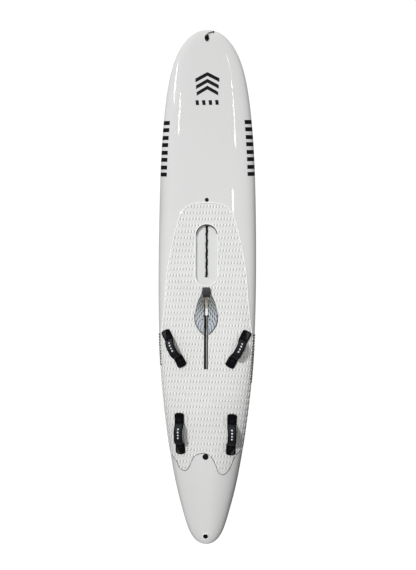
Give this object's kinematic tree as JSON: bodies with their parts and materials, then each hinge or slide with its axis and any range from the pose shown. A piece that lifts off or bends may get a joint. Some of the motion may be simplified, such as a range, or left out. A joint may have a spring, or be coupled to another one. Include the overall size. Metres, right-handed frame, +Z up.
{
  "type": "windsurf board",
  "caption": "Long windsurf board with a mast track, swinging daggerboard, footstraps, non-skid deck and a bolted fin.",
  "frame": {"origin": "on the ground plane under the fin's tip, below the middle of the board's length and width", "axes": "+X to the nose, +Y to port, +Z up out of the deck"},
  "size_m": [3.4974, 0.6775, 0.7154],
  "materials": {
    "hull_skin": "satin-gloss moulded skin, off-white",
    "foam": "closed-cell foam, light and matt",
    "nonskid": "raised diamond non-skid, white",
    "tray_plastic": "satin moulded plastic, pale grey",
    "anodised_aluminium": "black anodised extrusion",
    "lip_rubber": "pale flexible lip",
    "black_plastic": "moulded, fine texture",
    "stainless": "stainless fasteners",
    "dark_screw": "black countersunk screws",
    "bush_plastic": "low-friction plastic",
    "head_plastic": "moulded, warm off-white",
    "blade_laminate": "dark glossy laminate",
    "pedal_plastic": "ribbed foot pedal, dark grey",
    "gasket_rubber": "flexible slot strip",
    "cover_plastic": "glossy blue-grey, embossed",
    "strap_neoprene": "padded neoprene, stitched",
    "webbing": "woven polyester strap",
    "fin_composite": "polished laminate",
    "brass": "machined",
    "vent_plastic": "slotted vent screw",
    "seal_rubber": "O-ring",
    "line_fibre": "braided line"
  },
  "bodies": {
    "hull": {"deck_skin": "hull_skin", "bottom_skin": "hull_skin", "foam_core": "foam", "nonskid_pad": "nonskid", "mast_track_tray": "tray_plastic", "mast_track_rail": "anodised_aluminium", "mast_track_lip_left": "lip_rubber", "mast_track_lip_right": "lip_rubber", "daggerboard_case": "black_plastic", "fin_box": "black_plastic", "footstrap_inserts": "black_plastic", "spare_strap_inserts": "black_plastic", "tow_eye_insert": "black_plastic", "vent_plug_body": "black_plastic", "fin_bolt_cap": "black_plastic", "tow_eye": "black_plastic", "leash_plug_cup": "black_plastic", "leash_bar": "black_plastic", "daggerboard_pivot_pin": "stainless", "fin_bolt": "stainless", "fin_bolt_washer": "stainless", "tow_eye_screws": "stainless", "daggerboard_cover_screws": "dark_screw", "footstrap_screws": "dark_screw", "pivot_bushes": "bush_plastic", "footstrap_washers": "bush_plastic", "slot_gasket_left": "gasket_rubber", "slot_gasket_right": "gasket_rubber", "daggerboard_cover": "cover_plastic", "footstrap_cover_front_left": "strap_neoprene", "footstrap_cover_front_right": "strap_neoprene", "footstrap_cover_rear_left": "strap_neoprene", "footstrap_cover_rear_right": "strap_neoprene", "footstrap_webbing_front_left": "webbing", "footstrap_webbing_front_right": "webbing", "footstrap_webbing_rear_left": "webbing", "footstrap_webbing_rear_right": "webbing", "fin": "fin_composite", "fin_barrel_nut": "brass", "vent_seal": "seal_rubber", "tow_line": "line_fibre", "tow_line_stop_knot": "line_fibre", "tow_line_end_knot": "line_fibre"},
    "daggerboard": {"daggerboard_blade": "blade_laminate", "daggerboard_head": "head_plastic", "daggerboard_head_bolts": "stainless", "daggerboard_pedal": "pedal_plastic", "pedal_screws": "stainless", "friction_discs": "bush_plastic"},
    "vent_screw": {"vent_screw": "vent_plastic"}
  },
  "joints": [
    {"name": "daggerboard_swing", "type": "hinge", "parent": "hull", "child": "daggerboard", "pos_m": [-0.086, 0, 0.532], "axis": [0, -1, 0], "range_deg": [0, 88]},
    {"name": "vent_screw_turn", "type": "hinge", "parent": "hull", "child": "vent_screw", "pos_m": [0.641, 0, 0.587], "axis": [0, 0, 1], "range_deg": [0, 360]}
  ]
}
